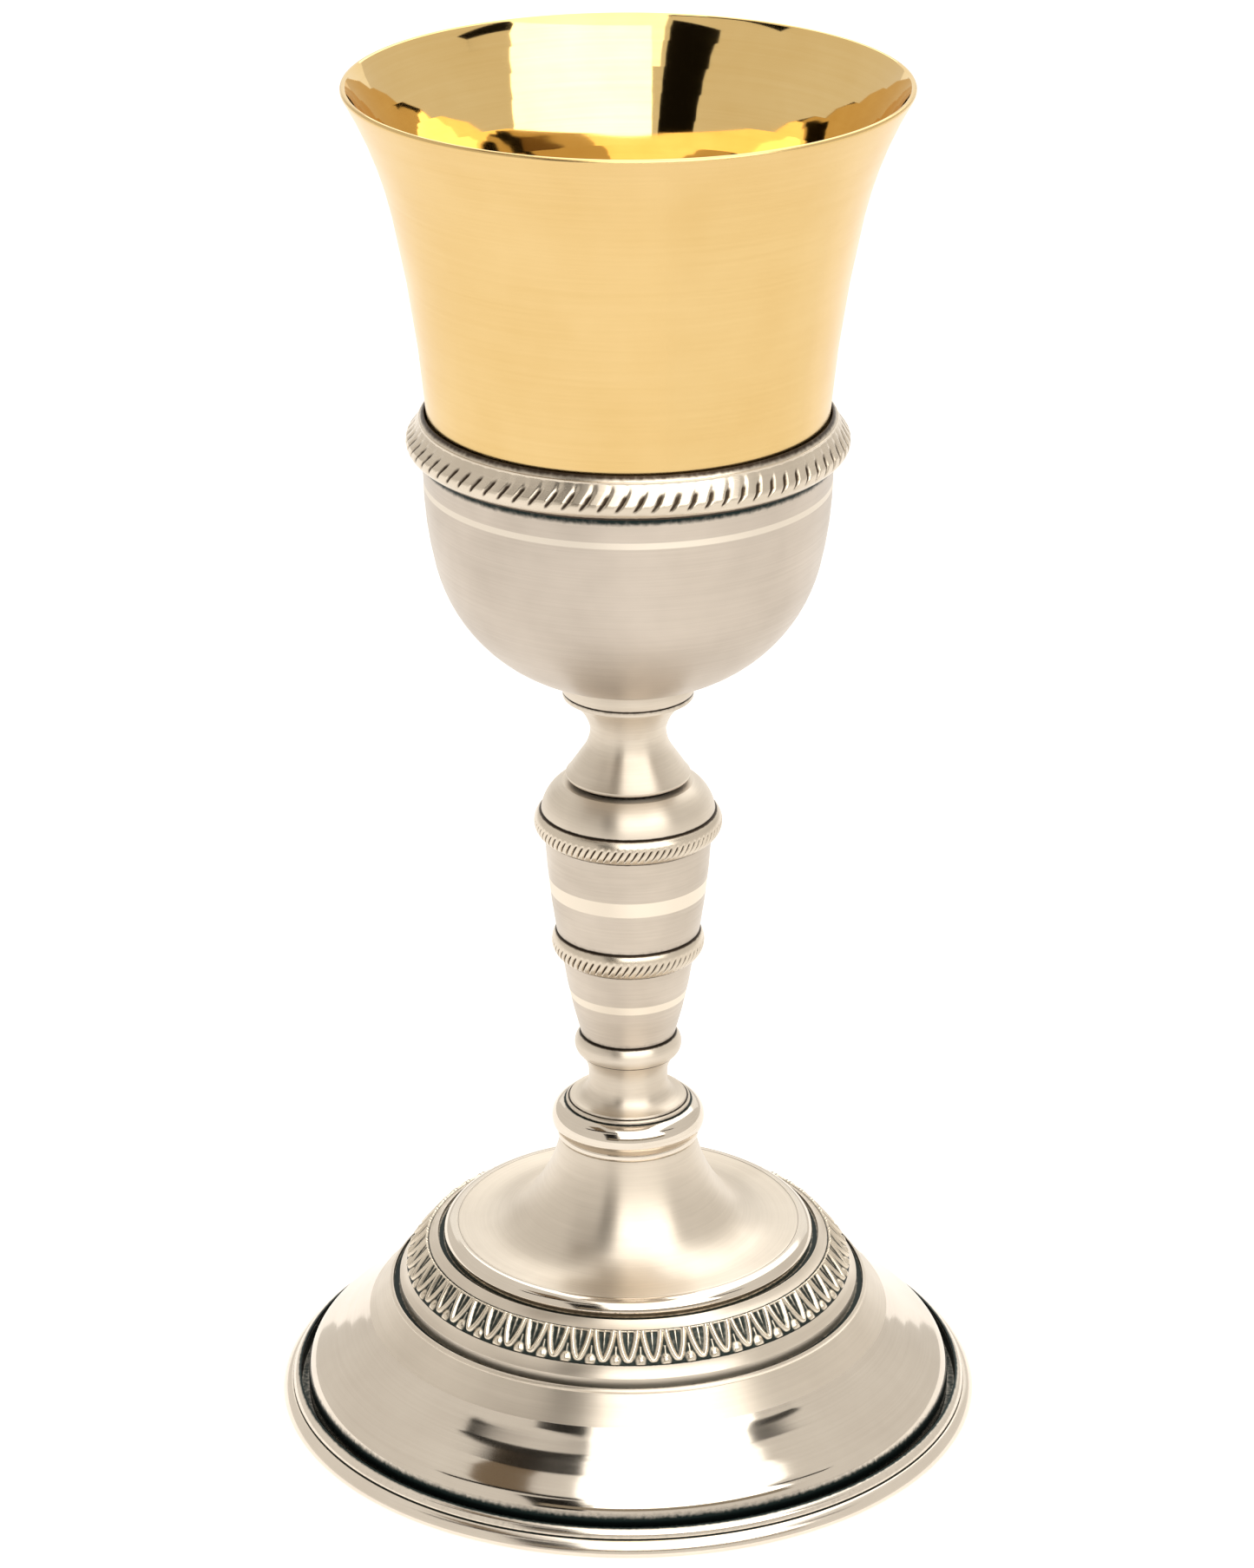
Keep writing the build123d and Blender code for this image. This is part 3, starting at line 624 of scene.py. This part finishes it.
def notched():
    """A tree that presses slanting notches into a zone of a turned piece, and lets oxide lie in them."""
    sizes = [("Notches", 80), ("Depth", 0.3), ("Slant", 1.0), ("Zone Bottom", 0.0), ("Zone Top", 1.0),
             ("Inner Radius", 1.0)]
    tree = node_group("slanting_notches", [("Geometry", "NodeSocketGeometry", None)]
                      + [(name, "NodeSocketFloat", value) for name, value in sizes]
                      + [("Finish", "NodeSocketMaterial", None)])
    given = add(tree, "NodeGroupInput").outputs

    place = add(tree, "GeometryNodeInputPosition").outputs[0]
    xyz = add(tree, "ShaderNodeSeparateXYZ", i0=place).outputs
    flat = add(tree, "ShaderNodeVectorMath", {"operation": "MULTIPLY"}, i0=place, i1=(1, 1, 0)).outputs[0]
    out = add(tree, "ShaderNodeVectorMath", {"operation": "LENGTH"}, i0=flat).outputs["Value"]
    was = add(tree, "GeometryNodeInputNamedAttribute", {"data_type": "FLOAT"}, i0="tarnish").outputs[0]
    found = {name: given[name] for name, _ in sizes} | {axis: xyz[axis] for axis in "XYZ"}
    found |= {"out": out, "was": was}
    # One row for each sum: what it gives, its operation, and what goes into it. A notch is a teardrop,
    # wider at its top, and off line is how far a point is from one, in notches.
    for name, operation, *parts in (
            ("angle", "ARCTAN2", "Y", "X"), ("share", "DIVIDE", "angle", math.tau),
            ("turns", "MULTIPLY", "share", "Notches"), ("part", "FRACT", "turns"),
            ("beside", "SUBTRACT", "part", 0.5), ("off line", "ABSOLUTE", "beside"),
            ("wide", "SUBTRACT", "Zone Top", "Zone Bottom"), ("above", "SUBTRACT", "Z", "Zone Bottom"),
            ("up", "DIVIDE", "above", "wide"), ("notch edge", "MULTIPLY_ADD", "up", 0.16, 0.15),
            ("centred", "SUBTRACT", "up", 0.5), ("from middle", "ABSOLUTE", "centred"),
            ("outside", "GREATER_THAN", "out", "Inner Radius"), ("inward", "MULTIPLY", "Depth", -1.0),
            ("not below", "MAXIMUM", "up", 0.0), ("level", "MINIMUM", "not below", 1.0),
            ("whole lean", "MULTIPLY", "Slant", math.tau), ("climb", "MULTIPLY", "level", "whole lean"),
            ("lean", "DIVIDE", "climb", "Notches")):
        inputs = {f"i{k}": found.get(part, part) for k, part in enumerate(parts)}
        found[name] = add(tree, "ShaderNodeMath", {"operation": operation}, **inputs).outputs[0]
    smooth = {"interpolation_type": "SMOOTHSTEP"}
    found["wall"] = add(tree, "ShaderNodeMapRange", smooth, i0=found["off line"], i1=0.0,
                        i2=found["notch edge"], i3=1.0, i4=0.0).outputs[0]
    found["in zone"] = add(tree, "ShaderNodeMapRange", smooth, i0=found["from middle"], i1=0.3, i2=0.55,
                           i3=1.0, i4=0.0).outputs[0]
    for name, operation, *parts in (
            ("notch", "MULTIPLY", "wall", "in zone"), ("pressed", "MULTIPLY", "notch", "outside"),
            ("push", "MULTIPLY", "pressed", "inward"), ("fresh", "MULTIPLY", "pressed", 0.8),
            ("dark", "MAXIMUM", "was", "fresh")):
        inputs = {f"i{k}": found.get(part, part) for k, part in enumerate(parts)}
        found[name] = add(tree, "ShaderNodeMath", {"operation": operation}, **inputs).outputs[0]
    normal = add(tree, "GeometryNodeInputNormal").outputs[0]
    move = add(tree, "ShaderNodeVectorMath", {"operation": "SCALE"}, i0=normal,
               Scale=found["push"]).outputs[0]
    marked = add(tree, "GeometryNodeStoreNamedAttribute", {"data_type": "FLOAT", "domain": "POINT"},
                 i0=given["Geometry"], Name="tarnish", Value=found["dark"]).outputs[0]
    sunk = add(tree, "ShaderNodeVectorMath", {"operation": "ADD"}, i0=place, i1=move).outputs[0]
    # The slant turns each level of the ring a little, so that the faces run along the notches
    slanted = add(tree, "ShaderNodeVectorRotate", {"rotation_type": "Z_AXIS"}, Vector=sunk,
                  Angle=found["lean"]).outputs[0]
    shaped = add(tree, "GeometryNodeSetPosition", Geometry=marked, Position=slanted).outputs[0]
    real = add(tree, "GeometryNodeRealizeInstances", i0=shaped).outputs[0]
    coated = add(tree, "GeometryNodeSetMaterial", Geometry=real, Material=given["Finish"]).outputs[0]
    add(tree, "NodeGroupOutput", i0=coated)
    return tree


notch_tree = notched()


def roped(piece, node, notches, depth, slant, bottom, top, inner, material):
    """Presses the rope notches into a turned ring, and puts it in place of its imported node."""
    made(piece, notch_tree, {"Notches": float(notches), "Depth": depth * mm, "Slant": slant,
                             "Zone Bottom": bottom * mm, "Zone Top": top * mm, "Inner Radius": inner * mm,
                             "Finish": material})
    in_place(piece, node, "stand")


# Rope plate: bright rubbed strands and brown-black notches, less buffed than the rings
rope_silver = plated("silver_plate_rope", "#E0D4C3", "#D0C4B3", 0.28, 0.05, 0.4, 0.002, "#43382E",
                     stretch=0.5)


def rope_bead(name, node, notches, widest, bottom_radius, top_radius):
    """A rounded ring with its rope zone below its widest line."""
    low, high, radius = extent(node)
    side = through((bottom_radius, low), (radius - 0.05, low + widest), (top_radius, high), step=7.0)
    marks = [(bottom_radius, low, 0.45), (top_radius, high, 0.5)]
    piece = turned(name, [(bore, low), (bottom_radius, low)] + side + [(bore, high)], marks, radius=0.12,
                   facets=notches * notch_facets, longest=6.0)
    roped(piece, node, notches, 0.3, 1.15, low + 0.5, low + 3.1, bottom_radius - 0.6, rope_silver)


rope_bead("knop_rope_bead_middle", "knop_middle_bead", 66, 1.9, 11.9, 12.5)
rope_bead("knop_rope_bead_upper", "knop_upper_bead", 83, 2.0, 14.7, 15.1)


# ---- Knop shoulder
# The domed top of the knop, turned from brass bar, plated and brushed. It has a sunk recess that the
# baluster stands in, darkened with painted shade.

shoulder_base, shoulder_top, _ = extent("knop_shoulder")
recess_z, recess_radius = shoulder_top - 1.2, 9.2
shoulder_radius = 15.0
side = through((shoulder_radius, shoulder_base), (13.95, shoulder_base + 2.9), (11.3, shoulder_top))
outline = [(bore, shoulder_base), (shoulder_radius, shoulder_base)] + side
outline += [(recess_radius, shoulder_top), (recess_radius, recess_z), (bore, recess_z)]
# Painted shade darkens the recess; the mark at the base is oxide at the joint
dark_places = [(recess_radius, recess_z, 1.7), (shoulder_radius, shoulder_base, 0.45)]
shoulder = turned("knop_shoulder_cap", outline, dark_places, radius=0.2, longest=1.0)
finished(shoulder, stem_silver, "knop_shoulder")


# ---- Baluster
# The piece between the knop and the cup: a spigot in the recess, a bell, a waist and a flared top. It is
# turned from brass bar, plated and brushed, with a separate ring between it and the calyx.

baluster_base, baluster_top, _ = extent("baluster")
bell_z = baluster_base + 2.0
spigot_radius, bell_radius, top_radius = 8.8, 10.3, 11.2
waist, rim_point = (6.5, bell_z + 8.9), (top_radius, baluster_top - 0.9)
flare_top = (7.95, bell_z + 4.6)
rise, _ = onward(waist, (0, -1), flare_top)
outline = [(bore, baluster_base), (spigot_radius, baluster_base), (spigot_radius, bell_z),
           (bell_radius, bell_z)]
outline += bow((bell_radius, bell_z), (10.7, bell_z + 0.7), -0.17) + [(bell_radius, bell_z + 1.15)]
outline += [flare_top] + rise[::-1][1:] + [waist]
outline += through(waist, (8.4, rim_point[1] - 2.1), rim_point)
outline += [(top_radius, baluster_top), (bore, baluster_top)]
# Painted shade darkens the spigot and the underside of the bell, down in the shoulder's recess; the mark at
# the top is oxide at the joint
dark_places = [(9.4, bell_z - 0.6, 1.6), (top_radius, baluster_top, 0.3)]
baluster = turned("stem_baluster", outline, dark_places, radius=0.15, longest=1.0)
finished(baluster, stem_silver, "baluster")

collar_base, collar_top, _ = extent("under_cup_collar")
collar_low, collar_high = (11.2, collar_base), (11.7, collar_top)
outline = [(bore, collar_base), collar_low] + bow(collar_low, collar_high, -0.22) + [(bore, collar_top)]
collar = turned("under_cup_ring", outline, [(*collar_low, 0.35), (*collar_high, 0.2)], radius=0.2)
finished(collar, stem_silver, "under_cup_collar")


# ---- Calyx
# The silver bowl that holds the cup, spun from 1 mm sheet and brushed round, with one fine lighter line
# round it below the band, a painted highlight. The rod passes through its floor.

calyx_base, calyx_edge, calyx_radius = extent("calyx")
_, mouth_z, band_radius = extent("calyx_rope_band")
seat, waist, side_top = (11.2, calyx_base), (32.45, calyx_base + 20.9), (34.35, calyx_base + 36.6)
edge_bottom = (calyx_radius, calyx_edge - 2.0)
chord = Vector(waist) - Vector(seat)
bowl_arc = 28.15            # radius of the bowl's side
bowl_rise = bowl_arc - math.sqrt(bowl_arc ** 2 - (chord.length / 2) ** 2)
bowl = bow(seat, waist, -bowl_rise)
half_turn = math.asin(chord.length / 2 / bowl_arc)
leaving = Vector((math.cos(half_turn) * chord.x - math.sin(half_turn) * chord.y,
                  math.sin(half_turn) * chord.x + math.cos(half_turn) * chord.y))
side, _ = onward(waist, leaving, side_top)
path = [(bore, calyx_base), seat] + bowl + side + [edge_bottom, (calyx_radius, calyx_edge)]
calyx_wall = 1.0
# Painted shade darkens the calyx under the lap of the rope band; the mark at the seat is oxide at the joint
dark_places = [(35.1, mouth_z - 7.6, 1.4), (seat[0] + 0.3, calyx_base, 0.35)]
calyx = turned("calyx_bowl", path + inset(path, -calyx_wall)[::-1], dark_places, facets=320, longest=1.6)
# The calyx was brushed with as fine a wheel as the stem, and is a shade greyer than the drums
calyx_silver = plated("silver_plate_calyx_brushed", "#CEC3B7", "#C0B5A9", 0.38, 0.05, 0.3, 0.004,
                      stretch=0.75)
# A painted highlight: a faint lighter, rougher line round the calyx below the band
calyx_highlight_line = highlight_banded("silver_plate_calyx_line", calyx_silver, mouth_z - 12.6, mouth_z - 11.5, "#E6DCCE")
finished(calyx, calyx_highlight_line, "calyx")
also(calyx, inside_silver, lambda r, z, outward: outward < -0.02)


# ---- Rope band
# The cast band round the mouth of the calyx: a polished top that slopes to the cup, a rope of slanting
# notches, and a plain roll below. It laps over the edge of the calyx and is soldered to it.

band_base = mouth_z - 7.2
mouth_radius = 34.05
band_notches = 79
under, shoulder = (36.5, band_base + 0.9), (37.0, band_base + 3.1)
outline = [(34.92, band_base), (35.3, band_base), under]
outline += through(under, (band_radius - 0.05, band_base + 2.0), shoulder, step=6.0)
outline += through(shoulder, (35.65, band_base + 5.0), (mouth_radius + 0.25, mouth_z), step=2.5)
outline += [(mouth_radius, mouth_z), (mouth_radius, calyx_edge), (calyx_radius, calyx_edge),
            (calyx_radius, calyx_edge - 2.0)]
# Painted shade darkens the band's underside over the calyx and its inner edge beside the cup
band = turned("calyx_rope_ring", outline, [(35.8, band_base, 1.25), (mouth_radius, mouth_z - 0.3, 1.1)],
              radius=0.15, facets=band_notches * notch_facets, longest=3.0)
roped(band, "calyx_rope_band", band_notches, 0.4, 0.75, band_base + 1.5, band_base + 5.0, 35.0, rope_silver)


# ---- Tie rod, nuts and washers
# The rod through the stem is M6 steel, zinc plated. A nut in the calyx clamps the stack from above, and
# a nut and a washer under the foot clamp it from below. The rod's top screws into the cup.

rod_bottom, rod_top, rod_radius = extent("tie_rod")
thread_pitch, thread_depth = 1.0, 0.45
thread_low, thread_high = 24, 16    # the threaded lengths at the bottom and at the top
levels_a_turn = 6                   # how many levels show one turn of thread
across_flats, nut_chamfer = 10.0, 0.6
# Zinc plate on steel: cool grey, a little milky
zinc_steel = plated("zinc_plated_steel", "#C9CBCC", "#A6A9AB", 0.28, 0.06, 0.25, 0.003, "#2A2724")
# Bare turned brass: yellow, with tool rings about 0.25 mm apart
turned_brass = plated("turned_brass", "#D8B878", "#BE9A58", 0.25, 0.05, 0.25, 0.004, "#4A3A20")


def thread(angle, height):
    """How deep a right-hand V thread is at an angle and a height: 0 on a crest, 1 in a root."""
    return abs((height / thread_pitch - angle / math.tau) % 1 * 2 - 1)


def rod_shape(angle, radius, height):
    """The rod, threaded at its two ends."""
    plain_part = rod_bottom + thread_low < height < rod_top - thread_high
    threaded = radius > rod_radius - 0.2 and not plain_part
    return radius - thread_depth * thread(angle, height) if threaded else radius


def nut_shape(angle, radius, height):
    """A hexagon outside; the bore stays round."""
    if radius < bore + 1:
        return radius
    flat = (angle + math.pi / 6) % (math.pi / 3) - math.pi / 6
    return min(radius, across_flats / 2 / math.cos(flat))


tip = rod_radius - 0.5
levels = int((rod_top - rod_bottom - 1.0) * levels_a_turn)
outline = [(0, rod_bottom), (tip, rod_bottom), (rod_radius, rod_bottom + 0.5)]
outline += [(rod_radius, rod_bottom + 0.5 + i / levels_a_turn) for i in range(1, levels)]
outline += [(rod_radius, rod_top - 0.5), (tip, rod_top), (0, rod_top)]
rod = turned("stem_tie_rod", outline, radius=0.05, facets=40, change=rod_shape)
finished(rod, zinc_steel, "tie_rod")


def nut(name, node, body):
    """A hexagon nut with chamfered corners and a countersunk bore."""
    low, high, corner = extent(node)
    sink = 0.35
    outline = [(bore + sink, low), (corner - nut_chamfer, low), (corner, low + nut_chamfer * 0.6),
               (corner, high - nut_chamfer * 0.6), (corner - nut_chamfer, high), (bore + sink, high),
               (bore, high - sink), (bore, low + sink)]
    piece = turned(name, outline, radius=0.08, facets=120, longest=0.25, change=nut_shape)
    piece.data.set_sharp_from_angle(angle=math.radians(30))
    finished(piece, zinc_steel, node, body)


nut("foot_hex_nut", "foot_nut", "loose_nut")
nut("calyx_hex_nut", "calyx_nut", "stand")


def bored(name, node, rounding, facets):
    """A plain bored disc or block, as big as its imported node."""
    low, high, radius = extent(node)
    outline = [(bore, low), (radius, low), (radius, high), (bore, high)]
    return turned(name, outline, radius=rounding, facets=facets)


for name, node, body in (("foot_flat_washer", "foot_washer", "loose_washer"),
                         ("calyx_flat_washer", "calyx_washer", "stand")):
    finished(bored(name, node, 0.2, 96), zinc_steel, node, body)
foot_boss = bored("foot_boss_block", "foot_boss", 0.4, 160)
finished(foot_boss, turned_brass, "foot_boss")


# ---- Cup
# The drinking cup, spun from 1 mm sheet and gilded all over: burnished inside, and outside finished with
# a fine satin. The brass boss soldered under it is tapped for the rod, and it unscrews from there.

cup_base, cup_top, _ = extent("cup")
cup_wall = 1.0
lean = math.radians(4.7)
corner_arc, throat = 24.0, (33.7, mouth_z)
side_z = cup_base + corner_arc * (1 - math.sin(lean))
side_radius = throat[0] - (mouth_z - side_z) * math.tan(lean)
floor_radius = side_radius - corner_arc * math.cos(lean)
swing, _ = onward((floor_radius, cup_base), (1, 0), (side_radius, side_z))
lower, heading = onward(throat, (math.sin(lean), math.cos(lean)), (38.87, mouth_z + 34.4))
upper, heading = onward(lower[-1], heading, (46.87, mouth_z + 55.02))
path = [(floor_radius * i / 4, cup_base) for i in range(5)] + swing + [throat] + lower + upper
inside_path = inset(path, -cup_wall)
inside_path[0] = (0, cup_base + cup_wall)
lip_middle = Vector(path[-1]).lerp(Vector(inside_path[-1]), 0.5) + heading.normalized() * cup_wall / 2
lip_round = through(path[-1], tuple(lip_middle), inside_path[-1], step=18)
cup = turned("cup_gilt_bowl", path + lip_round + inside_path[::-1][1:], radius=0.05, facets=360,
             longest=2.0)
# Gold plate over a fine satin: pale warm yellow, with a broad soft sheen and no lines to speak of
satin_gold = plated("gold_plate_satin", "#E0C187", "#DBBA7D", 0.23, 0.03, 0.5, 0.001, "#6A4A1C", stretch=0.2)
# Gold plate burnished to a mirror: deeper in colour, because it reflects itself many times
mirror_gold = plated("gold_plate_burnished", "#EFCF90", "#E8C582", 0.05, 0.02, 0.8, 0.0005, "#6A4A1C")
finished(cup, satin_gold, "cup", "lift_out_cup")


def burnished(r, z, outward):
    """Whether a face of the cup is inside it or on its lip."""
    inside = outward < -0.02 or z > cup_top - 1.2 or r < floor_radius + 1
    return inside and outward < 0.35 and z > cup_base + 0.5


also(cup, mirror_gold, burnished)

cup_boss = bored("cup_boss_block", "cup_boss", 0.4, 160)
finished(cup_boss, satin_gold, "cup_boss", "lift_out_cup")


# ---- Table, studio light and camera
# A pale table in a white tent. A soft strip runs overhead, a soft panel stands in front and to the right,
# and dark and brown cards stand for the gaps beside them. All of these are seen only in the metal.

tent_radius, tent_z = 1.2, 0.1      # the overhead sheets bend round this height, in metres
sheet_steps = 24


def emitting(name, colour, strength):
    """A material that only glows."""
    material, tree = blank(name)
    glow = add(tree, "ShaderNodeEmission", Color=linear(colour), Strength=strength).outputs[0]
    add(tree, "ShaderNodeOutputMaterial", i0=glow)
    return material


def hidden(name, points, faces, material):
    """A sheet that only the metal sees."""
    mesh = bpy.data.meshes.new(name)
    mesh.from_pydata(points, [], faces)
    mesh.materials.append(material)
    sheet = placed(name, mesh)
    sheet.visible_camera = False
    sheet.visible_diffuse = False
    sheet.visible_shadow = False


def overhead(name, left, right, low, high, material, skew=0):
    """A sheet bent over the chalice. left and right are in metres, and low and high are angles in degrees
    from the horizon in front: 90 is overhead and 180 is behind. skew sets its left edge back."""
    points = []
    for step in range(sheet_steps + 1):
        for x, back in ((left, skew), (right, 0)):
            t = math.radians(low + (high - low) * step / sheet_steps + back)
            points.append((x, -tent_radius * math.cos(t), tent_z + tent_radius * math.sin(t)))
    hidden(name, points, [(2 * i, 2 * i + 2, 2 * i + 3, 2 * i + 1) for i in range(sheet_steps)], material)


def around(name, azimuths, edges, material):
    """A sheet bent round the stem, between two azimuths in degrees, 0 in front and 90 to the right. edges
    are its two long edges, each a distance from the stem and a height, in metres."""
    points = []
    for step in range(sheet_steps + 1):
        a = math.radians(azimuths[0] + (azimuths[1] - azimuths[0]) * step / sheet_steps)
        points += [(d * math.sin(a), -d * math.cos(a), z) for d, z in edges]
    hidden(name, points, [(2 * i, 2 * i + 1, 2 * i + 3, 2 * i + 2) for i in range(sheet_steps)], material)


silk = emitting("softbox_silk", "#FFFDF8", 2.1)
black_card = emitting("black_card", "#1A1712", 0.6)
overhead("overhead_strip", -0.26, 0.85, 40, 150, silk)
overhead("left_gap_high", -1.3, -0.24, 57, 66, black_card, skew=18)
overhead("left_gap_low", -0.72, -0.3, 12, 55, black_card)
overhead("left_gap_tall", -0.85, -0.5, 67, 96, emitting("brown_card", "#8A7862", 0.8))
overhead("right_gap", 0.85, 1.6, 76, 84, black_card, skew=-16)
overhead("back_strip", -0.6, 0.85, 150, 172, emitting("back_silk", "#FFFDF8", 1.05))
around("near_softbox", (-12, 60), ((0.55, 0.34), (0.55, 0.8)), emitting("near_softbox_silk", "#FFFDF8", 3.3))
around("front_gap", (-30, 56), ((0.57, 0.22), (0.57, 0.34)), emitting("grey_gap", "#8A8070", 1.2))
around("bright_table_right", (20, 120), ((0.12, 0.002), (1.2, 0.002)), emitting("lit_table", "#FFFBF4", 1.22))

# The table lies a hair below the moulding, so that the two don't meet in one plane
table_half, table_level = 6.0, -0.0001
corners = [(-table_half, -table_half), (table_half, -table_half), (table_half, table_half),
           (-table_half, table_half)]
table_mesh = bpy.data.meshes.new("table")
table_mesh.from_pydata([(x, y, table_level) for x, y in corners], [], [(0, 1, 2, 3)])
table = placed("table", table_mesh)
# Matt white card. Its glow stands for the light that fills a studio table from all sides
table_paint, tree = blank("white_table")
matt = add(tree, "ShaderNodeBsdfDiffuse", Color=linear("#F4F3F1")).outputs[0]
glow = add(tree, "ShaderNodeEmission", Color=(1, 1, 1, 1), Strength=0.56).outputs[0]
both = add(tree, "ShaderNodeAddShader", i0=matt, i1=glow).outputs[0]
# The table has only an upper side, so the underside of the foot can be looked at
below = add(tree, "ShaderNodeNewGeometry").outputs["Backfacing"]
clear = add(tree, "ShaderNodeBsdfTransparent").outputs[0]
one_sided = add(tree, "ShaderNodeMixShader", i0=below, i1=both, i2=clear).outputs[0]
add(tree, "ShaderNodeOutputMaterial", i0=one_sided)
table_mesh.materials.append(table_paint)

world = bpy.data.worlds.new("white_tent")
bpy.context.scene.world = world
world.use_nodes = True
world.node_tree.nodes.clear()
sky = add(world.node_tree, "ShaderNodeBackground", Color=linear("#FFFAF2"), Strength=0.78)
add(world.node_tree, "ShaderNodeOutputWorld", i0=sky.outputs[0])

camera = placed("camera", bpy.data.cameras.new("camera"))
camera.location = (-0.0002, -0.8213, 0.4565)
camera.rotation_euler = (math.radians(67.52), 0, 0)
camera.data.lens = 118.89
camera.data.sensor_width = 36
bpy.context.scene.camera = camera
bpy.context.scene.view_settings.view_transform = "Standard"
